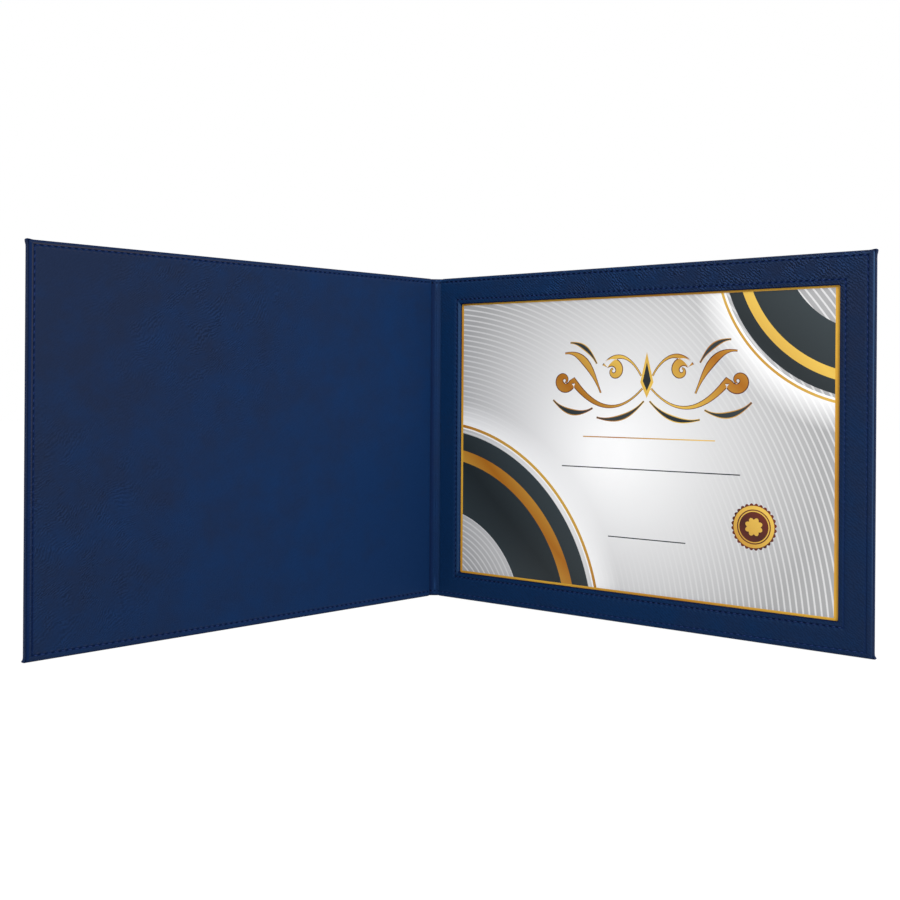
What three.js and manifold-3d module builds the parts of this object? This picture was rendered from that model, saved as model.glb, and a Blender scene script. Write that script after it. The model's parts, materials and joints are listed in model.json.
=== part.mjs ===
import * as THREE from 'three';
import { mergeVertices } from 'three/addons/utils/BufferGeometryUtils.js';
import Module from 'manifold-3d';

// A leatherette certificate holder that stands open like a book. Millimetres, Z up.
// Every leaf is drawn flat: X runs from its crease to its fore-edge, depth runs inwards
// from its outer face (towards -Y) and Z runs up from its bottom edge.

const wasm = await Module();
wasm.setup();

// Certificate, a landscape letter sheet
const paperWidth = 279.4;
const paperHeight = 215.9;
const paperThickness = 0.25;

// Leaves, which are made to fit the certificate
const paperSpineMargin = 11.25;
const coverTurnIn = 6;
const coverForeTurnIn = 11.8;
const leafCornerRadius = 1.5;
const openingAngle = 98;

// Sheets and boards
const leatherThickness = 0.6;
const boardThickness = 1.8;
const pocketLiningThickness = 0.25;
const spineLiningThickness = 0.5;
const frameCardThickness = 0.6;

// Frame, which laps over the certificate's edges
const frameSpineLap = 6.15;
const frameForeLap = 7.05;
const frameEndLap = 12.65;
const frameTurnIn = 6;
const windowCornerRadius = 1;

// Stitching
const threadThickness = 0.3;
const foreStitchInset = 3;
const endStitchInset = 2.4;
const windowStitchInset = 3.2;
const stitchStartInset = 1;

// Clearances
const glueLine = 0.1;
const paperEdgePlay = 0.35;
const paperFacePlay = 0.1;
const threadClearance = 0.1;
const panelInset = 0.4;
const creaseGap = 0.15;
const spineClearance = 0.8;
const closedGap = 0.8;
const spineLiningClearance = 0.3;
const cutOverlap = 1;
const arcSegments = 4;

// Depths of the layers, from the outer face inwards
const boardDepth = leatherThickness + glueLine;
const turnInDepth = boardDepth + boardThickness + glueLine;
const wrapDepth = turnInDepth + leatherThickness;
const liningDepth = wrapDepth + glueLine;
const liningFaceDepth = liningDepth + leatherThickness;
const paperDepth = turnInDepth + pocketLiningThickness + paperFacePlay;
const frameDepth = Math.max(wrapDepth + glueLine, paperDepth + paperThickness + paperFacePlay);
const frameCardDepth = frameDepth + leatherThickness + glueLine;
const frameFaceDepth = frameCardDepth + frameCardThickness + glueLine;
const displayFaceDepth = frameFaceDepth + leatherThickness;
const spineWidth = liningFaceDepth + displayFaceDepth + closedGap;
const grooveDepth = threadThickness + threadClearance;

// Places across a leaf
const spineLiningDepth = leatherThickness + glueLine;
const layerStart = spineLiningDepth + spineLiningThickness + spineClearance;
const paperLeft = layerStart + paperSpineMargin;
const paperRight = paperLeft + paperWidth;
const pocketEnd = paperRight + paperEdgePlay;
const leafWidth = pocketEnd + coverForeTurnIn;
const pocketBottom = coverTurnIn;
const paperBottom = pocketBottom + paperEdgePlay;
const paperTop = paperBottom + paperHeight;
const pocketTop = paperTop + paperEdgePlay;
const leafHeight = pocketTop + coverTurnIn;
const windowLeft = paperLeft + frameSpineLap;
const windowRight = paperRight - frameForeLap;
const windowBottom = paperBottom + frameEndLap;
const windowTop = paperTop - frameEndLap;
const panelEnd = leafWidth - panelInset;
const panelBottom = panelInset;
const panelTop = leafHeight - panelInset;
const creaseBend = (180 - openingAngle) / 2;

const navyLeather = { color: 0x192b4d, roughness: 0.55, metalness: 0 };
const navyLining = { color: 0x1c2d50, roughness: 0.55, metalness: 0 };
const greyboard = { color: 0x8c8578, roughness: 0.95, metalness: 0 };
const darkPaper = { color: 0x262a33, roughness: 0.9, metalness: 0 };
const whitePaper = { color: 0xd9d9d9, roughness: 0.8, metalness: 0 };
const navyThread = { color: 0x0d1428, roughness: 0.7, metalness: 0 };

function piece(name, geometry, finish) {
  const mesh = new THREE.Mesh(geometry, new THREE.MeshStandardMaterial(finish));
  mesh.name = name;
  return mesh;
}

function toSolid(geometry) {
  const bare = geometry.clone();
  bare.deleteAttribute('normal');
  bare.deleteAttribute('uv');
  const merged = mergeVertices(bare);
  return new wasm.Manifold(new wasm.Mesh({
    numProp: 3,
    vertProperties: new Float32Array(merged.attributes.position.array),
    triVerts: new Uint32Array(merged.index.array),
  }));
}

function toGeometry(solid) {
  const mesh = solid.getMesh();
  const geometry = new THREE.BufferGeometry();
  geometry.setAttribute('position', new THREE.BufferAttribute(new Float32Array(mesh.vertProperties), 3));
  geometry.setIndex(new THREE.BufferAttribute(new Uint32Array(mesh.triVerts), 1));
  geometry.computeVertexNormals();
  return geometry;
}

function cut(geometry, ...cutters) {
  const start = toSolid(geometry);
  return toGeometry(cutters.reduce((solid, cutter) => solid.subtract(toSolid(cutter)), start));
}

// A flat shape drawn in X and Z, made into a sheet between two depths.
function sheet(shape, fromDepth, toDepth) {
  const geometry = new THREE.ExtrudeGeometry(shape, {
    depth: toDepth - fromDepth,
    bevelEnabled: false,
    curveSegments: arcSegments,
  });
  geometry.translate(0, 0, fromDepth);
  geometry.rotateX(Math.PI / 2);
  return geometry;
}

// A section drawn in X and Y, made into a strip that runs up the leaf.
function strip(points, fromHeight, toHeight) {
  const shape = new THREE.Shape(points.map(([x, y]) => new THREE.Vector2(x, y)));
  const geometry = new THREE.ExtrudeGeometry(shape, { depth: toHeight - fromHeight, bevelEnabled: false });
  geometry.translate(0, 0, fromHeight);
  return geometry;
}

function rectangle(left, right, bottom, top) {
  return new THREE.Shape([
    new THREE.Vector2(left, bottom),
    new THREE.Vector2(right, bottom),
    new THREE.Vector2(right, top),
    new THREE.Vector2(left, top),
  ]);
}

// A rectangle whose two corners at the fore-edge are round.
function leafShape(left, right, bottom, top, radius) {
  const shape = new THREE.Shape();
  shape.moveTo(left, bottom);
  shape.lineTo(right - radius, bottom);
  shape.absarc(right - radius, bottom + radius, radius, -Math.PI / 2, 0);
  shape.lineTo(right, top - radius);
  shape.absarc(right - radius, top - radius, radius, 0, Math.PI / 2);
  shape.lineTo(left, top);
  return shape;
}

// The window, grown outwards by a margin, with round corners.
function windowShape(margin) {
  const radius = windowCornerRadius + margin;
  const left = windowLeft - margin;
  const right = windowRight + margin;
  const bottom = windowBottom - margin;
  const top = windowTop + margin;
  const shape = new THREE.Shape();
  shape.moveTo(left, bottom + radius);
  shape.absarc(left + radius, bottom + radius, radius, Math.PI, 1.5 * Math.PI);
  shape.lineTo(right - radius, bottom);
  shape.absarc(right - radius, bottom + radius, radius, 1.5 * Math.PI, 2 * Math.PI);
  shape.lineTo(right, top - radius);
  shape.absarc(right - radius, top - radius, radius, 0, Math.PI / 2);
  shape.lineTo(left + radius, top);
  shape.absarc(left + radius, top - radius, radius, Math.PI / 2, Math.PI);
  return shape;
}

// The row of stitches along the bottom edge, fore-edge and top edge of a leaf.
function edgeRowShape(halfWidth, endMargin) {
  const start = layerStart + stitchStartInset - endMargin;
  const right = leafWidth - foreStitchInset;
  const bottom = endStitchInset;
  const top = leafHeight - endStitchInset;
  return new THREE.Shape([
    new THREE.Vector2(start, bottom - halfWidth),
    new THREE.Vector2(right + halfWidth, bottom - halfWidth),
    new THREE.Vector2(right + halfWidth, top + halfWidth),
    new THREE.Vector2(start, top + halfWidth),
    new THREE.Vector2(start, top - halfWidth),
    new THREE.Vector2(right - halfWidth, top - halfWidth),
    new THREE.Vector2(right - halfWidth, bottom + halfWidth),
    new THREE.Vector2(start, bottom + halfWidth),
  ]);
}

// The row of stitches round the window.
function windowRowShape(halfWidth) {
  const outer = windowStitchInset + halfWidth;
  const inner = windowStitchInset - halfWidth;
  const shape = rectangle(windowLeft - outer, windowRight + outer, windowBottom - outer, windowTop + outer);
  shape.holes.push(
    rectangle(windowLeft - inner, windowRight + inner, windowBottom - inner, windowTop + inner),
  );
  return shape;
}

const threadHalf = threadThickness / 2;
const grooveHalf = threadHalf + threadClearance;

function edgeGroove(fromDepth, toDepth) {
  return sheet(edgeRowShape(grooveHalf, threadClearance), fromDepth, toDepth);
}

function edgeThread(faceDepth, direction) {
  const inside = faceDepth - direction * threadThickness;
  return sheet(edgeRowShape(threadHalf, 0), Math.min(faceDepth, inside), Math.max(faceDepth, inside));
}

// Outer leatherette of a leaf, wrapped over the board on three sides and mitred at the crease.
function leafCover() {
  const body = sheet(leafShape(0, leafWidth, 0, leafHeight, leafCornerRadius), 0, wrapDepth);
  const boardRoom = sheet(
    leafShape(
      layerStart - cutOverlap,
      leafWidth - leatherThickness,
      leatherThickness,
      leafHeight - leatherThickness,
      leafCornerRadius - leatherThickness,
    ),
    leatherThickness,
    turnInDepth,
  );
  const hingeRoom = sheet(
    rectangle(-cutOverlap, layerStart, -cutOverlap, leafHeight + cutOverlap),
    leatherThickness,
    wrapDepth + cutOverlap,
  );
  const betweenTurnIns = sheet(
    rectangle(layerStart - cutOverlap, pocketEnd, pocketBottom, pocketTop),
    turnInDepth - glueLine,
    wrapDepth + cutOverlap,
  );
  const mitre = strip(
    [
      [creaseGap - cutOverlap, cutOverlap],
      [-2 * cutOverlap, cutOverlap],
      [-2 * cutOverlap, -leatherThickness - cutOverlap],
      [creaseGap + leatherThickness + cutOverlap, -leatherThickness - cutOverlap],
    ],
    -cutOverlap,
    leafHeight + cutOverlap,
  );
  return cut(body, boardRoom, hingeRoom, betweenTurnIns, mitre, edgeGroove(-cutOverlap, grooveDepth));
}

function leafBoard() {
  const edge = leatherThickness + glueLine;
  return sheet(
    leafShape(layerStart, leafWidth - edge, edge, leafHeight - edge, leafCornerRadius - leatherThickness),
    boardDepth,
    boardDepth + boardThickness,
  );
}

// A sheet that fills the space between the turned-in edges of the cover.
function infill(thickness) {
  return sheet(
    rectangle(layerStart, pocketEnd - glueLine, pocketBottom + glueLine, pocketTop - glueLine),
    turnInDepth,
    turnInDepth + thickness,
  );
}

function innerLining() {
  const body = sheet(
    leafShape(layerStart, panelEnd, panelBottom, panelTop, leafCornerRadius),
    liningDepth,
    liningFaceDepth,
  );
  return cut(body, edgeGroove(liningFaceDepth - grooveDepth, liningFaceDepth + cutOverlap));
}

// Stiff card inside the frame.
function frameCard() {
  const edge = leatherThickness + glueLine;
  const shape = leafShape(
    layerStart + edge,
    panelEnd - edge,
    panelBottom + edge,
    panelTop - edge,
    leafCornerRadius - leatherThickness,
  );
  shape.holes.push(windowShape(edge));
  return sheet(shape, frameCardDepth, frameCardDepth + frameCardThickness);
}

// Leatherette of the frame, folded round the card at its outer edge and at the window.
function frameCover() {
  const outline = leafShape(layerStart, panelEnd, panelBottom, panelTop, leafCornerRadius);
  outline.holes.push(windowShape(0));
  const body = sheet(outline, frameDepth, displayFaceDepth);
  const cardRoom = leafShape(
    layerStart + leatherThickness,
    panelEnd - leatherThickness,
    panelBottom + leatherThickness,
    panelTop - leatherThickness,
    leafCornerRadius - leatherThickness,
  );
  cardRoom.holes.push(windowShape(leatherThickness));
  const betweenTurnIns = rectangle(
    layerStart + frameTurnIn,
    panelEnd - frameTurnIn,
    panelBottom + frameTurnIn,
    panelTop - frameTurnIn,
  );
  betweenTurnIns.holes.push(windowShape(frameTurnIn));
  return cut(
    body,
    sheet(cardRoom, frameDepth + leatherThickness, frameFaceDepth),
    sheet(betweenTurnIns, frameDepth - cutOverlap, frameCardDepth),
    edgeGroove(displayFaceDepth - grooveDepth, displayFaceDepth + cutOverlap),
    sheet(windowRowShape(grooveHalf), displayFaceDepth - grooveDepth, displayFaceDepth + cutOverlap),
    sheet(windowRowShape(grooveHalf), frameDepth - cutOverlap, frameDepth + grooveDepth),
  );
}

function certificateSheet() {
  return sheet(
    rectangle(paperLeft, paperRight, paperBottom, paperTop),
    paperDepth,
    paperDepth + paperThickness,
  );
}

// Outer leatherette of the spine, mitred at both creases. It runs from its crease towards -X.
function spineCover() {
  const near = -creaseGap;
  const far = creaseGap - spineWidth;
  return strip(
    [
      [near, 0],
      [far, 0],
      [far + leatherThickness, -leatherThickness],
      [near - leatherThickness, -leatherThickness],
    ],
    0,
    leafHeight,
  );
}

function spineLining() {
  const near = -leatherThickness - spineLiningClearance;
  const far = -spineWidth - near;
  return strip(
    [
      [near, -spineLiningDepth],
      [far, -spineLiningDepth],
      [far, -spineLiningDepth - spineLiningThickness],
      [near, -spineLiningDepth - spineLiningThickness],
    ],
    panelBottom,
    panelTop,
  );
}

// The right leaf holds the certificate. It lies along X, with its outer face at Y = 0.
const displayLeaf = new THREE.Group();
displayLeaf.add(
  piece('right_cover', leafCover(), navyLeather),
  piece('right_board', leafBoard(), greyboard),
  piece('pocket_lining', infill(pocketLiningThickness), darkPaper),
  piece('certificate', certificateSheet(), whitePaper),
  piece('frame_card', frameCard(), greyboard),
  piece('frame_cover', frameCover(), navyLeather),
  piece('window_needle_thread',
    sheet(windowRowShape(threadHalf), displayFaceDepth - threadThickness, displayFaceDepth), navyThread),
  piece('window_bobbin_thread',
    sheet(windowRowShape(threadHalf), frameDepth, frameDepth + threadThickness), navyThread),
  piece('right_edge_needle_thread', edgeThread(displayFaceDepth, 1), navyThread),
  piece('right_edge_bobbin_thread', edgeThread(0, -1), navyThread),
);

// The spine strip turns on the right crease, and the left leaf turns on the left crease.
const spine = new THREE.Group();
spine.rotation.z = THREE.MathUtils.degToRad(creaseBend);
spine.add(
  piece('spine_cover', spineCover(), navyLeather),
  piece('spine_lining', spineLining(), navyLining),
);

const coverLeaf = new THREE.Group();
coverLeaf.position.x = -spineWidth;
coverLeaf.rotation.z = THREE.MathUtils.degToRad(creaseBend);

// A leaf drawn to the right of its crease, turned over about Y to lie to the left of it.
const turnedLeaf = new THREE.Group();
turnedLeaf.rotation.y = Math.PI;
turnedLeaf.position.z = leafHeight;
turnedLeaf.add(
  piece('left_cover', leafCover(), navyLeather),
  piece('left_board', leafBoard(), greyboard),
  piece('left_infill', infill(leatherThickness), darkPaper),
  piece('left_lining', innerLining(), navyLining),
  piece('left_edge_needle_thread', edgeThread(liningFaceDepth, 1), navyThread),
  piece('left_edge_bobbin_thread', edgeThread(0, -1), navyThread),
);
coverLeaf.add(turnedLeaf);
spine.add(coverLeaf);

// The origin is at the middle of the footprint, on the surface that the holder stands on.
const holder = new THREE.Group();
holder.add(displayLeaf, spine);
const bounds = new THREE.Box3().setFromObject(holder, true);
const middle = bounds.getCenter(new THREE.Vector3());
holder.position.set(-middle.x, -middle.y, -bounds.min.z);

export default holder;
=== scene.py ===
"""Looks of a leatherette certificate holder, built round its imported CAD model.

Lengths are in millimetres until a point is placed, which turns them into metres.
"""

import json
import math
from collections import namedtuple

import bmesh
import bpy
import numpy as np
from mathutils import Matrix, Vector, noise
from mathutils.geometry import delaunay_2d_cdt


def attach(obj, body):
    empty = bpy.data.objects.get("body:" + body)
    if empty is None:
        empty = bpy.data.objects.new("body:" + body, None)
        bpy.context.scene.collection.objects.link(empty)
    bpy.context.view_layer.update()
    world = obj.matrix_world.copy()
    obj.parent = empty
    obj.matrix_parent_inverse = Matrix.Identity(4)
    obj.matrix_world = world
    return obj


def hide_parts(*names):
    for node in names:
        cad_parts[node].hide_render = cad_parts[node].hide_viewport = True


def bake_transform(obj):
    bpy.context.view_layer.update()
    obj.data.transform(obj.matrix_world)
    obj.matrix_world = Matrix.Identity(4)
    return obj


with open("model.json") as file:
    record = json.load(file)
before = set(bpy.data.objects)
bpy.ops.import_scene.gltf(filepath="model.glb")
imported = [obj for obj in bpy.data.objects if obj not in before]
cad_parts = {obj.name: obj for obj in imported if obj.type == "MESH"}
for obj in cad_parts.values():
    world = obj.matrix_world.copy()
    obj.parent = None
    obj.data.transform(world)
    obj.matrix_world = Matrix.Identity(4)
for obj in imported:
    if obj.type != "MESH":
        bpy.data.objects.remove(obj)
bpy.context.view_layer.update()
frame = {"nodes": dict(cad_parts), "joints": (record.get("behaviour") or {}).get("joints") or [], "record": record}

MM = 0.001

# Edges, corners and creases
CREASE_RADIUS = 4.0
SHEET_THICKNESS = 0.5
SPINE_FOLD_THICKNESS = 1.05
OUTER_ROUNDING, INNER_ROUNDING, WINDOW_ROUNDING = 0.9, 0.4, 0.75
TURN_IN = 5.0
ROLL_WIDTH, ROLL_HEIGHT = 1.3, 0.5
LEAF_CORNER, SHARPEST_CORNER = 0.7, 0.2
CORNER_STEPS = 4
HEAD_EAR, FOOT_EAR, EAR_WIDTH = 0.6, 1.2, 2.4
WAVE_HEIGHT, WAVE_START = 0.14, (3.6, 6.6)
LINING_SEED, FRAME_SEED, COVER_SEED = 1.0, 4.0, 9.0

# Rows of stitches: where they lie, and how the skin rises beside them and sinks at them
ROW_INSET, HEAD_ROW_INSET, FOOT_ROW_INSET = 3.4, 2.4, 3.0
WINDOW_ROW_INSET = 3.2
ROW_START = 3.0
LONG_ROW_STITCHES, SHORT_ROW_STITCHES = 74, 54
WELT_HEIGHT, WELT_PLACE, WELT_WIDTH = 0.2, 2.3, 0.7
DIP_DEPTH, DIP_WIDTH = 0.16, 0.5
PIT_DEPTH, PIT_WIDTH = 0.5, 0.52
FACE_SINK, BACK_SINK, BED_DEPTH = 0.7 * DIP_DEPTH, 0.3 * DIP_DEPTH, 0.4
LEAD_STEPS = 14
# Samples along one stitch: share of its length, and how near a needle hole
STITCH_PHASES = ((0.0, 1.0), (0.16, 0.9), (0.3, 0.4), (0.5, 0.0), (0.7, 0.4), (0.84, 0.9))
# The thread of one stitch: share of its length, and how high its middle lies
STITCH_LINE = (
    (0.2, -0.55), (0.27, -0.28), (0.36, 0.02), (0.5, 0.14), (0.64, 0.02), (0.73, -0.28), (0.8, -0.55)
)
STITCH_SLANT = 0.7
THREAD_RADIUS, THREAD_SIDES = 0.27, 6
UNDER_THREAD_RADIUS, UNDER_THREAD_SINK = 0.14, 0.2

# Painted shade, wear and painted highlight, as seam values
FRAME_ROLL_HIGHLIGHT, ARRIS_WEAR_AND_HIGHLIGHT, SILL_HIGHLIGHT, PUCKER_HIGHLIGHT = 0.75, 0.1, 0.55, 0.25
ROW_SHADE, RIM_SHADE, SILL_SHADE, HOLE_SHADE = 0.4, 0.5, 0.75, 0.95
SHADE_WIDTH, RIDGE_WIDTH, PUCKER_PLACE = 0.6, 0.35, 0.75
# Rows by side: how open the holes are at the head and the foot, which also sets their painted shade,
# the row's painted shade, and its welt's wear and painted highlight
LINING_ROWS = {
    "top": (0.9, 0.9, 0.36, 0.6),
    "bottom": (1.0, 1.0, 0.2, 0.0),
    "fore": (0.9, 0.55, 0.8, 0.5),
}
FRAME_ROWS = {
    "top": (1.0, 1.0, 0.4, 0.35),
    "bottom": (0.5, 0.5, 0.24, 0.0),
    "fore": (0.9, 0.25, 0.3, 0.0),
}
WINDOW_ROWS = {"fore": (1.0, 0.35, 0.35, 0.0)}
# How open the holes of other rows are, their painted shade, and their welt's wear and painted highlight
PLAIN_FINISH = (1.0, ROW_SHADE, 0.0)


def srgb(red, green, blue):
    """A colour given in 0 to 255 steps, as the linear values that shaders take."""
    def linear(step):
        share = step / 255
        return share / 12.92 if share <= 0.04045 else ((share + 0.055) / 1.055) ** 2.4
    return (linear(red), linear(green), linear(blue), 1.0)


def bell(place, middle, width):
    return math.exp(-(((place - middle) / width) ** 2))


def fade(value, start, end):
    return min(1.0, max(0.0, (value - start) / (end - start)))


def joint_place(name):
    joint = next(j for j in frame["joints"] if j["name"] == name)
    return np.array(joint["pos_m"][:2]) / MM


def mount_axis(name):
    mount = next(m for m in frame["record"]["mounts"] if m["name"] == name)
    return np.array(mount["axis"][:2])


right_crease = joint_place("spine_fold")
left_crease = joint_place("cover_fold")
strip_line = left_crease - right_crease
STRIP_WIDTH = float(np.linalg.norm(strip_line))


class Leaf:
    """Flat coordinates of one leaf: along from its crease, deep from its outer face, and up."""

    def __init__(self, crease, outward, turn, to_other):
        self.crease = crease
        self.inward = -outward / np.linalg.norm(outward)
        self.along = turn * np.array((-self.inward[1], self.inward[0]))
        self.fold = math.acos(float(-self.along @ to_other) / STRIP_WIDTH)
        self.tangent = CREASE_RADIUS * math.tan(self.fold / 2)
        self.arc_end = self.tangent - CREASE_RADIUS * self.fold
        self.middle = self.arc_end - (STRIP_WIDTH / 2 - self.tangent)

    def place(self, along, deep, up):
        x, y = self.crease + along * self.along + deep * self.inward
        return (x * MM, y * MM, up * MM)

    def sheet_place(self, along, deep, up):
        """The same, with the crease bent to an arc and the strip of the spine beyond it."""
        if along >= self.tangent:
            return self.place(along, deep, up)
        turned = min((self.tangent - along) / CREASE_RADIUS, self.fold)
        reach = CREASE_RADIUS - deep
        beyond = max(0.0, self.arc_end - along)
        flat_along = self.tangent - reach * math.sin(turned) - beyond * math.cos(self.fold)
        flat_deep = CREASE_RADIUS - reach * math.cos(turned) + beyond * math.sin(self.fold)
        return self.place(flat_along, flat_deep, up)

    def flat_points(self, node):
        """Along, deep and up of each vertex of a CAD node."""
        points = np.array([v.co for v in frame["nodes"][node].data.vertices]) / MM
        flat = points[:, :2] - self.crease
        return np.stack((flat @ self.along, flat @ self.inward, points[:, 2]), axis=1)

    def span(self, node):
        """Lowest and highest along, deep and up of a CAD node."""
        points = self.flat_points(node)
        return [(float(low), float(high)) for low, high in zip(points.min(axis=0), points.max(axis=0))]

    def crease_ends(self):
        """Where the bend starts on the leaf and ends on the strip."""
        return self.sheet_place(self.tangent, 0, 0), self.sheet_place(self.arc_end, 0, 0)


right_leaf = Leaf(right_crease, mount_axis("display_back"), 1, strip_line)
left_leaf = Leaf(left_crease, mount_axis("cover_back"), -1, -strip_line)
(_, LEAF_WIDTH), _, (_, LEAF_HEIGHT) = right_leaf.span("right_cover")


def new_object(name, data):
    made = bpy.data.objects.new(name, data)
    bpy.context.scene.collection.objects.link(made)
    return made


class Shape:
    """A mesh in the making.

    Each point keeps its place on the flat sheet, and its seam value: positive where it is painted darker,
    as painted shade and dark joins, up to 1 in a needle hole, and negative for wearing and painted highlight,
    down to -1 on a ridge.
    """

    def __init__(self):
        self.points = []
        self.flat = []
        self.seam = []
        self.faces = []

    def add(self, point, flat, seam=0.0):
        self.points.append(point)
        self.flat.append([value * MM for value in flat])
        self.seam.append(seam)
        return len(self.points) - 1

    def bridge(self, first, second, closed):
        count = len(first)
        for k in range(count if closed else count - 1):
            after = (k + 1) % count
            self.faces.append((first[k], first[after], second[after], second[k]))

    def loft(self, rings, closed=True):
        for first, second in zip(rings, rings[1:]):
            self.bridge(first, second, closed)

    def build(self, name, materials, face_materials=None, recalculate=True, smooth=True):
        mesh = bpy.data.meshes.new(name)
        mesh.from_pydata(self.points, [], self.faces)
        flat = mesh.attributes.new("flat_place", "FLOAT_VECTOR", "POINT")
        flat.data.foreach_set("vector", np.array(self.flat, np.float32).ravel())
        seam = mesh.attributes.new("seam", "FLOAT", "POINT")
        seam.data.foreach_set("value", np.array(self.seam, np.float32))
        for material in materials:
            mesh.materials.append(material)
        if face_materials is not None:
            mesh.polygons.foreach_set("material_index", np.array(face_materials, np.int32))
        if recalculate:
            work = bmesh.new()
            work.from_mesh(mesh)
            bmesh.ops.recalc_face_normals(work, faces=work.faces)
            work.to_mesh(mesh)
            work.free()
        mesh.polygons.foreach_set("use_smooth", [smooth] * len(mesh.polygons))
        mesh.update()
        return new_object(name, mesh)


# Materials

def new_material(name):
    material = bpy.data.materials.new(name)
    material.use_nodes = True
    return material, material.node_tree, material.node_tree.nodes["Principled BSDF"]


def feed(tree, socket, value):
    """Links a value to a socket, or sets it there if it is the same all over."""
    if isinstance(value, bpy.types.NodeSocket):
        tree.links.new(value, socket)
    else:
        socket.default_value = value


def node(tree, kind, inputs=None, **settings):
    made = tree.nodes.new(kind)
    for key, value in settings.items():
        setattr(made, key, value)
    for key, value in (inputs or {}).items():
        feed(tree, made.inputs[key], value)
    return made


def maths(tree, operation, first, second=0.0, clamp=False):
    made = node(tree, "ShaderNodeMath", {0: first, 1: second}, operation=operation, use_clamp=clamp)
    return made.outputs[0]


def mixed(tree, share, first, second):
    made = node(tree, "ShaderNodeMix", data_type="RGBA")
    for key, value in (("Factor", share), ("A", first), ("B", second)):
        feed(tree, next(s for s in made.inputs if s.name == key and s.enabled), value)
    return next(s for s in made.outputs if s.enabled)


def read_flat(tree, turn=0.0):
    """Places on the flat sheet, turned about its normal."""
    source = node(tree, "ShaderNodeAttribute", attribute_name="flat_place")
    inputs = {"Vector": source.outputs["Vector"], "Rotation": (0, 0, turn)}
    return node(tree, "ShaderNodeMapping", inputs).outputs[0]


def distance_from(tree, vector, place):
    made = node(tree, "ShaderNodeVectorMath", {0: vector, 1: place}, operation="DISTANCE")
    return made.outputs["Value"]


def noise_of(tree, vector, scale, detail=3.0, roughness=0.55):
    inputs = {"Vector": vector, "Scale": scale, "Detail": detail, "Roughness": roughness}
    return node(tree, "ShaderNodeTexNoise", inputs).outputs[0]


def between(tree, value, low, high, new_low=0.0, new_high=1.0):
    made = node(tree, "ShaderNodeMapRange", {0: value, 1: low, 2: high, 3: new_low, 4: new_high})
    return made.outputs[0]


def connect(tree, shader, colour, roughness, specular, relief=None):
    """Gives a shader its inputs. relief is a height with the strength and distance of its bump."""
    feed(tree, shader.inputs["Base Color"], colour)
    feed(tree, shader.inputs["Roughness"], roughness)
    shader.inputs["Specular IOR Level"].default_value = specular
    if relief:
        height, strength, distance = relief
        bump = node(tree, "ShaderNodeBump", {"Height": height, "Strength": strength, "Distance": distance})
        tree.links.new(bump.outputs[0], shader.inputs["Normal"])


# A greyer navy, for random cloudy tone and for a painted sheen towards the fore-edge and the top
SHEEN_AND_CLOUD_NAVY = srgb(27, 39, 65)
# Painted shade, and the darkest painted shade, in needle holes and deep joins
SHADED_NAVY = srgb(11, 32, 70)
HOLE_NAVY = srgb(3, 8, 29)
GRAIN_TURN = math.radians(-50)
GRAIN_LINES = {"Scale": 205.0, "Distortion": 6.5, "Detail": 2.0, "Detail Scale": 2.4}
EDDY_SCALE, CLOUD_SCALE, PATCH_SCALE, PEBBLE_SCALE = 30.0, 38.0, 95.0, 1100.0
PEBBLE_SHARE = 0.07
GRAIN_DEPTH = 0.0004


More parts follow.
